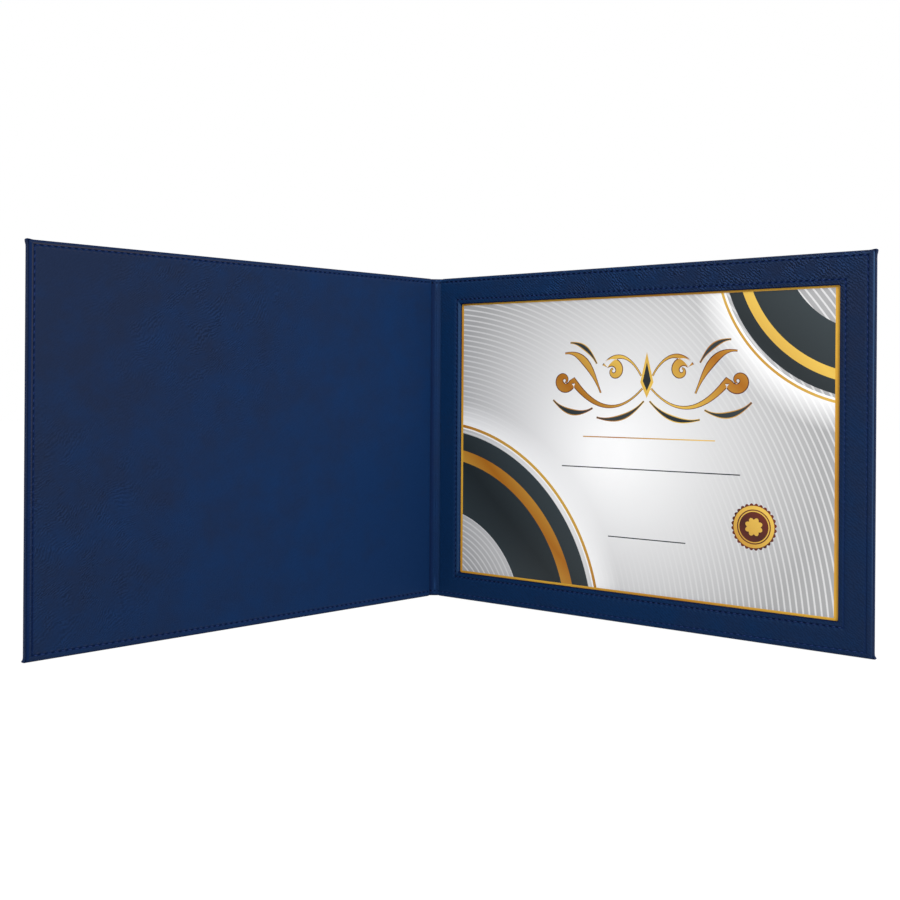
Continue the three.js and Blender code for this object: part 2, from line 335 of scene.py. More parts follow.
def leatherette(name, deep, highlight_and_wear_colour, start, lean, grain, patches):
    """Coated cloth with a fine pebble, patches of wrinkled lines, and darker seams with painted shade.

    It is greyer in random clouds, and towards the fore-edge and the top as a painted sheen. start is where
    its flat sheet begins along, and lean adds to the greyer share. Its ridges take on the colour given for
    their wearing and painted highlight. patches gives the middle and reach of each wrinkled patch. grain
    gives how strong the lines are outside the patches and in them, how far they swirl, and how much
    brighter the patches are. The lines carry painted highlights and shade, and painted shade darkens the
    skin towards the foot.
    """
    material, tree, shader = new_material(name)
    calm, wrinkled, swirl, paler = grain
    flat = read_flat(tree)
    slanted = read_flat(tree, GRAIN_TURN)
    eddies = node(tree, "ShaderNodeTexNoise", {"Vector": flat, "Scale": EDDY_SCALE, "Detail": 1.0})
    swirls = {0: eddies.outputs["Color"], 1: (swirl * MM, swirl * MM, 0.0), 2: slanted}
    swirled = node(tree, "ShaderNodeVectorMath", swirls, operation="MULTIPLY_ADD").outputs[0]
    lines = node(tree, "ShaderNodeTexWave", {"Vector": swirled, **GRAIN_LINES}).outputs["Fac"]
    cells = node(tree, "ShaderNodeTexVoronoi", {"Vector": flat, "Scale": PEBBLE_SCALE}, feature="F1")
    pebble = cells.outputs["Distance"]
    cloud = noise_of(tree, flat, CLOUD_SCALE, 5.0, 0.65)
    near = 0.0
    for along, up, reach in patches:
        distance = distance_from(tree, flat, ((start + along) * MM, up * MM, 0.0))
        inside = between(tree, distance, 0.3 * reach * MM, reach * MM, 1.0, 0.0)
        near = maths(tree, "MAXIMUM", inside, near)
    patchy = between(tree, noise_of(tree, flat, PATCH_SCALE, 2.0), 0.42, 0.58, 0.1, 1.0)
    patch = maths(tree, "MULTIPLY", near, patchy)
    strength = between(tree, patch, 0.0, 1.0, calm, wrinkled)
    folds = maths(tree, "MULTIPLY", maths(tree, "SUBTRACT", lines, 0.5), strength)
    height = maths(tree, "SUBTRACT", folds, maths(tree, "MULTIPLY", pebble, PEBBLE_SHARE))
    along, up, _ = node(tree, "ShaderNodeSeparateXYZ", {0: flat}).outputs
    fore_edge, head = (start + LEAF_WIDTH) * MM, LEAF_HEIGHT * MM
    # Greyer in random clouds, and with a painted sheen towards the fore-edge and the top
    share = between(tree, along, start * MM, fore_edge, lean - 0.5, lean + 0.35)
    share = maths(tree, "ADD", share, between(tree, up, 0.0, head, 0.0, 0.5))
    share = maths(tree, "ADD", share, between(tree, cloud, 0.3, 0.7, -0.15, 0.45), clamp=True)
    # Painted highlights and shade on the lines' relief, paler patches, and painted shade towards the foot
    painted_grain_light = between(tree, height, -0.5, 0.5, 0.3, 1.72)
    painted_grain_light = maths(tree, "MULTIPLY", painted_grain_light, between(tree, up, 0.0, head, 0.9, 1.0))
    painted_grain_light = maths(tree, "MULTIPLY", painted_grain_light, between(tree, patch, 0.0, 1.0, 1.0, paler))
    toned = {0: mixed(tree, share, deep, SHEEN_AND_CLOUD_NAVY), "Scale": painted_grain_light}
    skin = node(tree, "ShaderNodeVectorMath", toned, operation="SCALE").outputs[0]
    # Negative seam values go to wear and painted highlight, positive ones to painted shade, darkest in holes
    seam = node(tree, "ShaderNodeAttribute", attribute_name="seam").outputs["Fac"]
    ridge = mixed(tree, maths(tree, "MULTIPLY", seam, -1.0, clamp=True), skin, highlight_and_wear_colour)
    shaded = mixed(tree, maths(tree, "MULTIPLY", seam, 2.0, clamp=True), ridge, SHADED_NAVY)
    sewn = mixed(tree, between(tree, seam, 0.5, 1.0), shaded, HOLE_NAVY)
    roughness = between(tree, cloud, 0.3, 0.7, 0.46, 0.56)
    connect(tree, shader, sewn, roughness, 0.04, (height, 1.0, GRAIN_DEPTH))
    return material


def fibrous(name, colour, shade, scale, roughness):
    """Paper or board with cloudy fibres, for the pieces between the skins."""
    material, tree, shader = new_material(name)
    place = node(tree, "ShaderNodeTexCoord").outputs["Object"]
    fibre = noise_of(tree, place, scale, 6.0, 0.7)
    tone = mixed(tree, between(tree, fibre, 0.35, 0.65), shade, colour)
    rough = between(tree, fibre, 0.3, 0.7, roughness, roughness + 0.1)
    connect(tree, shader, tone, rough, 0.2, (fibre, 0.3, 0.0001))
    return material


def twisted_thread(name):
    material, tree, shader = new_material(name)
    flat = read_flat(tree, math.radians(40))
    twist = {"Vector": flat, "Scale": 700.0, "Distortion": 1.0}
    ply = node(tree, "ShaderNodeTexWave", twist).outputs["Fac"]
    tone = mixed(tree, ply, srgb(11, 27, 69), srgb(26, 52, 108))
    connect(tree, shader, tone, 0.6, 0.2, (ply, 0.6, 0.0001))
    return material


# Where each skin's flat sheet starts, so that no two skins show the same grain
FRAME_START, GUTTER_START = 400.0, 800.0
# Each skin's navy, and the colour that its ridges take for wear and painted highlight
COVER_TONES = srgb(10, 40, 78), srgb(58, 56, 58)
LINING_TONES = srgb(18, 46, 87), srgb(72, 64, 60)
FRAME_TONES = srgb(12, 43, 82), srgb(60, 88, 124)
GUTTER_TONES = srgb(17, 44, 84), srgb(42, 76, 126)
COVER_GRAIN = (0.1, 0.4, 18.0, 1.0)
LINING_GRAIN = (0.05, 0.42, 20.0, 1.0)
FRAME_GRAIN = (0.2, 0.85, 6.0, 1.2)
GUTTER_GRAIN = (0.12, 0.12, 10.0, 1.0)
COVER_PATCHES = ((150, 115, 260),)
LINING_PATCHES = ((190, 190, 85), (285, 60, 95))
FRAME_PATCHES = ((130, 226, 85), (215, 228, 75), (270, 232, 50))
cover_skin = leatherette("cover_leatherette", *COVER_TONES, 0.0, 0.0, COVER_GRAIN, COVER_PATCHES)
lining_skin = leatherette("lining_leatherette", *LINING_TONES, 0.0, 0.1, LINING_GRAIN, LINING_PATCHES)
frame_skin = leatherette("frame_leatherette", *FRAME_TONES, FRAME_START, 0.0, FRAME_GRAIN, FRAME_PATCHES)
gutter_skin = leatherette("gutter_leatherette", *GUTTER_TONES, GUTTER_START, 0.25, GUTTER_GRAIN, ())
thread = twisted_thread("thread")
greyboard = fibrous("greyboard", srgb(150, 144, 133), srgb(128, 122, 112), 900.0, 0.8)
dark_paper = fibrous("dark_paper", srgb(44, 48, 58), srgb(32, 36, 45), 700.0, 0.75)


# Leatherette panels and sheets

# A place round a panel: its side and share of that side, how near a needle hole it is (1 in the hole), and
# the column and row of the panel's grid that it joins, if it joins any
Sample = namedtuple("Sample", "side share hole place")
UNSEWN_SIDES = ("spine", "corner_2", "corner_3", "lead_bottom", "lead_top")


def panel_samples(first_column=0, closed=True):
    """Samples round a panel from its foot at the spine, or along its bottom, fore-edge and top only."""
    columns, rows = LONG_ROW_STITCHES, SHORT_ROW_STITCHES
    sides = [("bottom", columns, 1, 0), ("fore", rows, 0, 1), ("top", columns, -1, 0), ("spine", rows, 0, -1)]
    i, j = first_column, 0
    made = []
    for corner, (side, count, across, upward) in enumerate(sides if closed else sides[:3]):
        for k in range(count):
            for phase, hole in STITCH_PHASES:
                place = None if phase else (i + across * k, j + upward * k)
                made.append(Sample(side, (k + phase) / count, hole, place))
        i, j = i + across * count, j + upward * count
        for k in range(CORNER_STEPS if closed or corner < 2 else 0):
            made.append(Sample(f"corner_{corner}", k / CORNER_STEPS, 1.0, None if k else (i, j)))
    return made


def lead_samples():
    """Samples across half of the spine, below and above, where nothing is sewn."""
    count, rows = LEAD_STEPS, SHORT_ROW_STITCHES
    below = [Sample("lead_bottom", k / count, 0.0, (k, 0)) for k in range(count)]
    above = [Sample("lead_top", 1 - k / count, float(k == 0), (count - k, rows)) for k in range(count + 1)]
    return below, above


def on_ring(sample, box, radius, spine_radius, lead=None):
    """Where a sample lies on a ring: a rectangle with two fore corners and two spine corners."""
    side, share = sample.side, sample.share
    low_along, high_along, low_up, high_up = box
    start, end = low_along + spine_radius, high_along - radius
    if side == "bottom":
        return start + share * (end - start), low_up
    if side == "top":
        return end + share * (start - end), high_up
    if side == "fore":
        return high_along, low_up + radius + share * (high_up - low_up - 2 * radius)
    if side == "spine":
        return low_along, high_up - spine_radius - share * (high_up - low_up - 2 * spine_radius)
    if side in ("lead_bottom", "lead_top"):
        return lead + share * (low_along - lead), low_up if side == "lead_bottom" else high_up
    corner = int(side[-1])
    size = radius if corner < 2 else spine_radius
    middle_along = end if corner < 2 else start
    middle_up = low_up + size if corner in (0, 3) else high_up - size
    angle = math.radians(90 * (corner - 1 + share))
    return middle_along + size * math.cos(angle), middle_up + size * math.sin(angle)


def sewn_share(sample):
    """1 on the three sewn sides and 0 on the spine side."""
    return 0.0 if sample.side in UNSEWN_SIDES else 1.0


def sewn_row(samples, box, spine_radius, all_round=False, lead=None):
    """The needle holes of a row, in order."""
    holes = [s for s in samples if s.hole == 1.0 and (all_round or sewn_share(s) or s.side == "lead_top")]
    return [on_ring(s, box, SHARPEST_CORNER, spine_radius, lead) for s in holes]


def row_relief(sample, inset, row, finish=PLAIN_FINISH):
    """How far a sewn face rises at this distance from its edge, and its seam value."""
    opened, shade, welt_wear_and_highlight = finish
    hole = sample.hole * opened
    rise = WELT_HEIGHT * bell(inset, WELT_PLACE, WELT_WIDTH) - DIP_DEPTH * bell(inset, row, DIP_WIDTH)
    rise -= hole * PIT_DEPTH * bell(inset, row, PIT_WIDTH)
    dark = max(HOLE_SHADE * hole * bell(inset, row, PIT_WIDTH), shade * bell(inset, row, SHADE_WIDTH))
    # Painted highlight beside the row, between its holes
    pucker_highlight = PUCKER_HIGHLIGHT * (opened - hole) * bell(inset, row + PUCKER_PLACE, RIDGE_WIDTH)
    seam = dark - pucker_highlight - welt_wear_and_highlight * bell(inset, WELT_PLACE, RIDGE_WIDTH)
    return rise, seam


def fore_wear_and_highlight(sample, up, head):
    """How much wearing and painted highlight a ridge gets: most at the top of the fore-edge, none on other sides.
    """
    return 0.15 + 0.85 * up / head if sample.side == "fore" else 0.0


def row_finish(sample, along, up, high, head, sides):
    """How open the holes are, the row's painted shade, and the welt's wearing and painted highlight here."""
    side = "fore" if sample.side in ("corner_0", "corner_1") else sample.side
    if side not in sides:
        return PLAIN_FINISH
    at_head, at_foot, shade, welt_wear_and_highlight = sides[side]
    opened = at_foot + (at_head - at_foot) * (up / head) ** 2
    wear_and_highlight_share = fore_wear_and_highlight(sample, up, head) if side == "fore" else fade(along, 0.2 * high, 0.85 * high)
    return opened, shade, welt_wear_and_highlight * wear_and_highlight_share


def wave(along, up, seed):
    """The slight unevenness of a glued skin."""
    broad = noise.noise(Vector((along / 75, up / 60, seed)))
    close = noise.noise(Vector((along / 24, up / 20, seed + 7.3)))
    return WAVE_HEIGHT * (broad + 0.35 * close)


def roll(width, height, steps=5):
    """Points of a rounding from the side of an edge to its face: inset and drop."""
    angles = [math.pi / 2 * (1 - k / steps) for k in range(steps + 1)]
    return [(width * (1 - math.sin(a)), height * (1 - math.cos(a))) for a in angles]


def quarter(radius):
    return roll(radius, radius, 4)


def fill_panel(shape, samples, ring, columns, rows, grid_point):
    """Fills a ring with a coarser grid. grid_point makes the grid's points by column and row."""
    grid = [[grid_point(i, j) for j in range(rows + 1)] for i in range(columns + 1)]
    shape.faces += [
        (grid[i][j], grid[i + 1][j], grid[i + 1][j + 1], grid[i][j + 1])
        for i in range(columns)
        for j in range(rows)
    ]
    stations = [k for k, sample in enumerate(samples) if sample.place is not None]
    pairs = list(zip(stations, stations[1:]))
    closed = samples[0].side == "bottom"
    if closed:
        pairs.append((stations[-1], len(samples)))
    for first, last in pairs:
        outer = [ring[k % len(ring)] for k in range(first, last + 1)]
        near, far = (grid[i][j] for i, j in (samples[first].place, samples[last % len(samples)].place))
        shape.faces.append(tuple(outer) + ((far,) if far == near else (far, near)))


def corner_radius(inset):
    return max(LEAF_CORNER - inset, SHARPEST_CORNER)


FACE_STEPS = (-1.7, -1.4, -1.1, -0.8, -0.5, -0.3, -0.15, 0.0, 0.15, 0.3, 0.5, 0.9, 1.6, 3.1)
FACE_INSETS = tuple(ROW_INSET + step for step in FACE_STEPS)
GRID_INSET = 9.0


def end_inset(inset, row):
    """The top and bottom rows lie nearer to their edges than the row at the fore-edge."""
    return float(np.interp(inset, (0, ROW_INSET, GRID_INSET), (0, row, GRID_INSET)))


def end_insets(inset):
    """The same at the foot and at the head."""
    return end_inset(inset, FOOT_ROW_INSET), end_inset(inset, HEAD_ROW_INSET)


def lining_panel():
    """The left leaf's inner panel: rolled edges, a sewn row on three sides, and a bend into the gutter."""
    (low, high), (back, face), (foot, head) = left_leaf.span("left_lining")
    samples = panel_samples()
    shape = Shape()
    columns, rows = LONG_ROW_STITCHES, SHORT_ROW_STITCHES
    gutter_along, gutter_deep = 0.8, 1.7
    bend_width, bend_height = 2.05, face - gutter_deep
    spine_insets = (0, 0.9, 1.0, 8.0)

    def box_at(inset):
        spine = float(np.interp(inset, (0, ROLL_WIDTH, ROW_INSET, GRID_INSET), spine_insets))
        below, above = end_insets(inset)
        return (low + spine, high - inset, foot + below, head - above)

    def ring(inset, deep, relief, spine_place=None, dark=0.0, spine_dark=0.0):
        made = []
        for sample in samples:
            along, up = on_ring(sample, box_at(inset), corner_radius(inset), SHARPEST_CORNER)
            sewn = sewn_share(sample)
            rise, seam = 0.0, dark
            if relief:
                finish = row_finish(sample, along, up, high, head, LINING_ROWS)
                rise, seam = row_relief(sample, inset, ROW_INSET, finish)
            if sample.side == "fore":
                seam += RIM_SHADE * fade(1.95 - inset, 0.0, 0.5) * fade(inset, 0.3, 0.7)
            level = deep + rise * sewn
            if relief:
                level += wave(along, up, LINING_SEED) * fade(inset, *WAVE_START)
            seam *= sewn
            if spine_place and sample.side == "spine":
                along, level = spine_place
                seam = spine_dark
            made.append(shape.add(left_leaf.place(along, level, up), (along, up, level - face), seam))
        return made

    def grid(deep, waved):
        box = box_at(GRID_INSET)

        def make(i, j):
            along = box[0] + (box[1] - box[0]) * i / columns
            up = box[2] + (box[3] - box[2]) * j / rows
            point = left_leaf.place(along, deep + waved * wave(along, up, LINING_SEED), up)
            return shape.add(point, (along, up, deep - face))
        return make

    rings = [
        ring(6.5, back, False),
        ring(0.3, back, False, (low - 0.15, back - 0.1), 0.8),
        ring(0.12, back + 0.02, False, (low - 0.15, gutter_deep), 0.8),
    ]
    bend = roll(bend_width, bend_height)
    for (inset, drop), (spine_inset, spine_drop) in zip(roll(ROLL_WIDTH, ROLL_HEIGHT), bend):
        place = (gutter_along + spine_inset, face - spine_drop)
        groove = 0.8 * fade(0.75 - inset, 0.0, 0.6)
        bend_shade = 0.5 * fade(spine_drop, 0.3, 1.6)
        rings.append(ring(inset, face - drop, inset > 1.0, place, groove, bend_shade))
    for inset in FACE_INSETS:
        rings.append(ring(inset, face, True))
    shape.loft(rings)
    fill_panel(shape, samples, rings[-1], columns, rows, grid(face, 1.0))
    fill_panel(shape, samples, rings[0], columns, rows, grid(back, 0.0))
    row = sewn_row(samples, box_at(ROW_INSET), SHARPEST_CORNER)
    return shape.build("left_lining_panel", [lining_skin]), row, face


def frame_ring():
    """The leatherette frame: a closed tube round the window, sewn at its outer edge and at the window."""
    (low, high), (back, face), (foot, head) = right_leaf.span("frame_cover")
    window_low, window_high, window_foot, _ = window
    samples = panel_samples()
    shape = Shape()
    width, spine_width, end_width = high - window_high, window_low - low, window_foot - foot
    window_row = width - WINDOW_ROW_INSET
    side_shades = {"spine": 0.0, "fore": 0.2}

    def box_at(inset):
        knots = (0, ROLL_WIDTH, ROW_INSET, width - 4, width)
        spine = float(np.interp(inset, knots, (0, 0.3, 0.5, spine_width - 4, spine_width)))
        below, above = (
            float(np.interp(inset, knots, (0, end_inset(ROLL_WIDTH, row), row, end_width - 4, end_width)))
            for row in (FOOT_ROW_INSET, HEAD_ROW_INSET)
        )
        return (low + spine, high - inset, foot + below, head - above)

    def radius_at(inset):
        inner = float(np.interp(inset, (width - 1.6, width), (SHARPEST_CORNER, 1.0)))
        return max(corner_radius(inset), inner)

    def ring(inset, deep, relief, dark=0.0, sill_highlight=0.0):
        made = []
        spine_radius = max(SHARPEST_CORNER, radius_at(inset) * (inset > width / 2))
        for sample in samples:
            along, up = on_ring(sample, box_at(inset), radius_at(inset), spine_radius)
            rise, seam = 0.0, dark * side_shades.get(sample.side, 1.0)
            # A painted highlight on the fore-edge's roll, more towards the top
            if dark < 0:
                seam = dark * fore_wear_and_highlight(sample, up, head)
            if relief:
                finish = row_finish(sample, along, up, high, head, FRAME_ROWS)
                edge_rise, edge_seam = row_relief(sample, inset, ROW_INSET, finish)
                finish = row_finish(sample, along, up, high, head, WINDOW_ROWS)
                sill_rise, sill_seam = row_relief(sample, width - inset, WINDOW_ROW_INSET, finish)
                sewn = sewn_share(sample)
                middle = bell(inset, width / 2, width / 5)
                rise = edge_rise * sewn + sill_rise + 0.5 * wave(along, up, FRAME_SEED) * middle
                seam = edge_seam * sewn + sill_seam
            # A painted highlight on the window's sill at the spine side, more towards the top
            if sample.side == "spine" and sill_highlight:
                seam -= sill_highlight * (0.5 + 0.5 * up / head)
            point = right_leaf.place(along, deep + rise, up)
            made.append(shape.add(point, (along + FRAME_START, up, deep - face), seam))
        return made

    rings = [
        ring(0.12, back, False, 0.9),
        ring(0.0, back + 0.1, False, 0.9),
        ring(0.0, back + 0.6, False, 0.6),
    ]
    for inset, drop in roll(ROLL_WIDTH, 2.2 * ROLL_HEIGHT):
        rings.append(ring(inset, face - drop, inset > 1.0, -FRAME_ROLL_HIGHLIGHT * bell(inset, 0.1, 0.3)))
    insets = list(FACE_INSETS) + [8.0, 9.8, 11.6, 13.0]
    insets += [window_row + step for step in (-0.7, -0.4, -0.2, 0.0, 0.2, 0.4)]
    for inset in insets:
        rings.append(ring(inset, face, True))
    for step in (0.7, 1.1, 1.5, 1.9):
        rings.append(ring(window_row + step, face, True, 0.0, SILL_HIGHLIGHT * fade(step, 0.9, 1.6)))
    for inset, drop in reversed(quarter(WINDOW_ROUNDING)):
        shade = SILL_SHADE * fade(WINDOW_ROUNDING - inset, 0.0, 0.3)
        rings.append(ring(width - inset, face - drop, False, shade, SILL_HIGHLIGHT * fade(inset, 0.0, 0.3)))
    rings.append(ring(width, back + 0.15, False, SILL_SHADE))
    rings.append(ring(width - 0.12, back, False))
    rings.append(ring(width / 2, back, False))
    shape.loft(rings + rings[:1])
    made = shape.build("frame_leatherette", [frame_skin])
    edge_row = sewn_row(samples, box_at(ROW_INSET), SHARPEST_CORNER)
    sill_row = sewn_row(samples, box_at(window_row), SHARPEST_CORNER, all_round=True)
    return made, edge_row, sill_row, back, face


def cover_sheet(name, leaf, node_name):
    """The outer leatherette of one leaf and half of the spine, wrapped over the board and turned in."""
    (_, high), (_, deepest), (foot, head) = leaf.span(node_name)
    below, above = lead_samples()
    samples = below + panel_samples(LEAD_STEPS, closed=False) + above
    shape = Shape()

    def thickness(along):
        return float(np.interp(along, (0.6, 2.0), (SPINE_FOLD_THICKNESS, deepest)))

    def box_at(inset):
        below, above = end_insets(inset)
        return (ROW_START, high - inset, foot + below, head - above)

    def with_ear(along, up):
        """Folded leatherette stands out a little at the two fore corners."""
        at_head = HEAD_EAR * math.exp(-((math.hypot(along - high, up - head) / EAR_WIDTH) ** 4))
        at_foot = FOOT_EAR * bell(math.hypot(along - high, up - foot), 0.0, EAR_WIDTH / 2)
        return along + at_head + at_foot, up + 0.7 * at_head

    def waved(along, up):
        return wave(along, up, COVER_SEED) * fade(along, 0, 20)

    def ring(inset, deep, relief, dark=0.0):
        made = []
        for sample in samples:
            along, up = on_ring(sample, box_at(inset), corner_radius(inset), 0.0, leaf.middle)
            sewn = 1.0 if sample.side == "lead_top" and sample.hole else sewn_share(sample)
            rise, seam = row_relief(sample, inset, ROW_INSET) if relief else (0.0, dark)
            # Wear and a painted highlight on the fore-edge's arris, more towards the top; painted shade elsewhere
            if dark < 0:
                seam = dark * fore_wear_and_highlight(sample, up, head) ** 2 if sample.side == "fore" else 0.4
            here = deep * thickness(along) / deepest
            if relief:
                here -= 0.5 * rise * sewn + waved(along, up) * fade(inset, *WAVE_START)
            else:
                along, up = with_ear(along, up)
            made.append(shape.add(leaf.sheet_place(along, here, up), (along, up, deep), seam * sewn))
        return made

    def grid_point(i, j):
        up = foot + GRID_INSET + (head - foot - 2 * GRID_INSET) * j / SHORT_ROW_STITCHES
        if i <= LEAD_STEPS:
            along = leaf.middle + (ROW_START - leaf.middle) * i / LEAD_STEPS
        else:
            along = ROW_START + (high - GRID_INSET - ROW_START) * (i - LEAD_STEPS) / LONG_ROW_STITCHES
        return shape.add(leaf.sheet_place(along, -waved(along, up), up), (along, up, 0))

    rings = [ring(inset, deepest, False, 0.95) for inset in (TURN_IN, TURN_IN / 2, 0.6)]
    for inset, drop in reversed(quarter(INNER_ROUNDING)):
        rings.append(ring(inset, deepest - drop, False, -ARRIS_WEAR_AND_HIGHLIGHT))
    # Painted shade on the cover's side and its outer rounding
    rings.append(ring(0.0, deepest * 0.7, False, 0.5))
    for inset, drop in quarter(OUTER_ROUNDING):
        rings.append(ring(inset, drop, False, 0.5 * fade(drop, 0.0, OUTER_ROUNDING)))
    for inset in (1.2,) + FACE_INSETS:
        rings.append(ring(inset, 0.0, True))
    shape.loft(rings, closed=False)
    columns = LEAD_STEPS + LONG_ROW_STITCHES
    fill_panel(shape, samples, rings[-1], columns, SHORT_ROW_STITCHES, grid_point)
    made = shape.build(name, [cover_skin], recalculate=False)
    largest = max(made.data.polygons, key=lambda p: p.area)
    if largest.normal.dot(Vector((*leaf.inward, 0))) > 0:
        made.data.flip_normals()
    thick = made.modifiers.new("sheet", "SOLIDIFY")
    thick.thickness = SHEET_THICKNESS * MM
    thick.offset = -1.0
    return made, sewn_row(samples, box_at(ROW_INSET), 0.0, lead=leaf.middle)


GUTTER_LEVEL, GUTTER_UNDER, GUTTER_BULGE = 1.5, 1.1, 0.45
CLIMB_START, CLIMB_END = -3.0, 0.35
GUTTER_COLUMNS, GUTTER_ROWS = 12, 70
GUTTER_ROW_STEPS = (-1.3, -0.9, -0.6, -0.3, 0.0, 0.3, 0.6, 0.9, 1.3)


def gutter_strip(name, leaf, outline, ramp, painted_light_tint, holes):
    """Half of the lining in the gutter, on the turned-in spine.

    outline ends its section at the board. The strip bulges at mid-spine and climbs by ramp towards the
    leaf. tint gives its seam value at a place along and up, with painted shade and painted highlight. A row
    crosses it near each end, with its needle holes at these places along, and each end puckers at mid-spine,
    where the puckers carry a painted highlight.
    """
    _, _, (foot, head) = leaf.span("spine_lining")
    row_ups = (foot + FOOT_ROW_INSET, head - HEAD_ROW_INSET)

    def top(along):
        share = fade(along, CLIMB_START, CLIMB_END)
        climb = share * share * (3 - 2 * share)
        return GUTTER_LEVEL + GUTTER_BULGE * bell(along, leaf.middle, 2.2) + ramp * climb

    run = [leaf.middle + (CLIMB_END - leaf.middle) * k / GUTTER_COLUMNS for k in range(GUTTER_COLUMNS)]
    upper = [(a, top(a)) for a in run]
    section = [(a, d, 1.0) for a, d in upper]
    section += [(a, d, 0.3) for a, d in outline]
    section += [(a, GUTTER_UNDER, 0.0) for a in reversed(run)]
    ups = [foot + (head - foot) * k / GUTTER_ROWS for k in range(GUTTER_ROWS + 1)]
    ups += [row + step for row in row_ups for step in GUTTER_ROW_STEPS]
    shape = Shape()
    rings = []
    for up in sorted(ups):
        made = []
        ends = bell(up, 7.0, 4.5) + bell(up, head - 3.0, 3.2)
        row_share = max(bell(up, row, PIT_WIDTH) for row in row_ups)
        for along, deep, free in section:
            pit = free * row_share * max(bell(along, hole, PIT_WIDTH) for hole in holes)
            ridge = free * ends * bell(along, leaf.middle, 0.5)
            uneven = 0.1 * noise.noise(Vector((along / 1.6, up / 14, 2.0))) * free
            lift = uneven + 0.06 * ridge - 0.4 * pit
            # Painted highlight on the puckers at mid-spine
            seam = painted_light_tint(along, up / head) + pit - 0.6 * ridge * (1 - pit)
            flat = (along + GUTTER_START, up, deep - GUTTER_LEVEL)
            made.append(shape.add(leaf.sheet_place(along, deep + lift, up), flat, seam))
        rings.append(made)
    shape.loft(rings)
    shape.faces += [tuple(rings[0]), tuple(rings[-1])]
    risen = upper + [(a, d) for (a, d), (b, _) in zip(outline, outline[1:]) if b > a]
    alongs, levels = zip(*risen)
    rows = [[(hole, row) for hole in holes] for row in row_ups]

    def surface(along, up):
        return float(np.interp(along, alongs, levels))

    return shape.build(name, [gutter_skin]), rows, surface


def holes_apart(row):
    """The needle holes of a row, without those that fall together at a corner."""
    holes = [np.array(row[0])]
    for place in row[1:]:
        if np.linalg.norm(np.array(place) - holes[-1]) > 1.0:
            holes.append(np.array(place))
    return holes


def stitches(name, leaf, rows, surface, lift_sign, radius=THREAD_RADIUS, sink=FACE_SINK, closed=False):
    """Rows of stitches. Each comes up a needle hole, lies along the face and goes down the next hole.

    surface gives how deep the face is at a place along and up.
    """
    shape = Shape()
    pairs = []
    for row in rows:
        holes = holes_apart(row)
        pairs += zip(holes, holes[1:] + holes[:1] if closed else holes[1:])
    for index, (start, end) in enumerate(pairs):
        line = end - start
        length = float(np.linalg.norm(line))
        across = np.array((-line[1], line[0])) / length
        rings = []
        for share, lift in STITCH_LINE:
            slim = 0.75 if share in (STITCH_LINE[0][0], STITCH_LINE[-1][0]) else 1.0
            centre = start + line * share + across * STITCH_SLANT * (share - 0.5)
            made = []
            for k in range(THREAD_SIDES):
                angle = 2 * math.pi * k / THREAD_SIDES
                along, up = centre + across * radius * slim * math.cos(angle)
                level = (lift - sink) * (radius / THREAD_RADIUS) + radius * slim * math.sin(angle)
                point = leaf.sheet_place(along, surface(along, up) + lift_sign * level, up)
                made.append(shape.add(point, (share * length, angle * radius, index * 3.0)))
            rings.append(made)
        shape.loft(rings)
        shape.faces += [tuple(rings[0]), tuple(rings[-1])]
    return shape.build(name, [thread])


def window_box():
    """The window's edges: the card's window, less the skin that is folded round the card's edge."""
    points = right_leaf.flat_points("frame_card")
    (low, high), _, (foot, head) = right_leaf.span("frame_card")
    skin = low - right_leaf.span("frame_cover")[0][0]
    along, up = points[:, 0], points[:, 2]
    inner = (along > low + 5) & (along < high - 5) & (up > foot + 5) & (up < head - 5)
    along, up = along[inner], up[inner]
    return [float(v) for v in (along.min() + skin, along.max() - skin, up.min() + skin, up.max() - skin)]


window = window_box()

lining, left_row, left_face = lining_panel()
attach(lining, "cover_leaf")
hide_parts("left_lining")

frame_piece, right_row, window_row, frame_back, frame_face = frame_ring()
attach(frame_piece, "display_leaf")
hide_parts("frame_cover")

right_sheet, right_back_row = cover_sheet("right_cover_sheet", right_leaf, "right_cover")
bend_start, bend_end = right_leaf.crease_ends()
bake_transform(right_sheet)
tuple(bend_start)
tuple(bend_end)
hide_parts("right_cover", "spine_cover")

left_sheet, left_back_row = cover_sheet("left_cover_sheet", left_leaf, "left_cover")
bend_end, bend_start = left_leaf.crease_ends()
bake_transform(left_sheet)
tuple(bend_start)
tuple(bend_end)
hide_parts("left_cover")

# The strip's section at the board: along and deep
UPTURNED_END = (
    (0.8, 3.7), (1.2, 4.2), (1.6, 4.6), (2.0, 4.9), (2.25, 4.95), (2.36, 4.7), (2.36, 3.2), (1.96, 2.9),
    (1.96, 2.2), (1.9, 1.5), (1.5, 1.0)
)
FLAT_END = ((0.8, 1.5), (1.5, 1.5), (1.5, 1.1))
RIGHT_GUTTER_HOLES = (1.0, -2.2, right_leaf.middle)
LEFT_GUTTER_HOLES = (left_leaf.middle, -1.8)
FRAME_SIDE_RAMP = 1.7
# Along the display leaf, where the strip beside the frame starts to bend and where it follows the spine
GUTTER_BEND = (2.1, -0.5)


def highlighted_climb(along, height):
    """Painted highlight on the climb beside the frame, more towards the top, on its upturned end, and on the crest
    at the top.
    """
    climb = (0.75 + 0.15 * height) * bell(along, -1.7, 0.75)
    return -climb - 0.75 * bell(along, 1.7, 0.7) - 0.12 * height * bell(along, -4.0, 1.5)


def shaded_side(along, height):
    """Painted shade darkens the strip towards the cover leaf, and painted highlight lightens its crest at the top.
    """
    return 0.55 * fade(along, -4.0, -2.0) - 0.12 * height * bell(along, -5.0, 1.0)


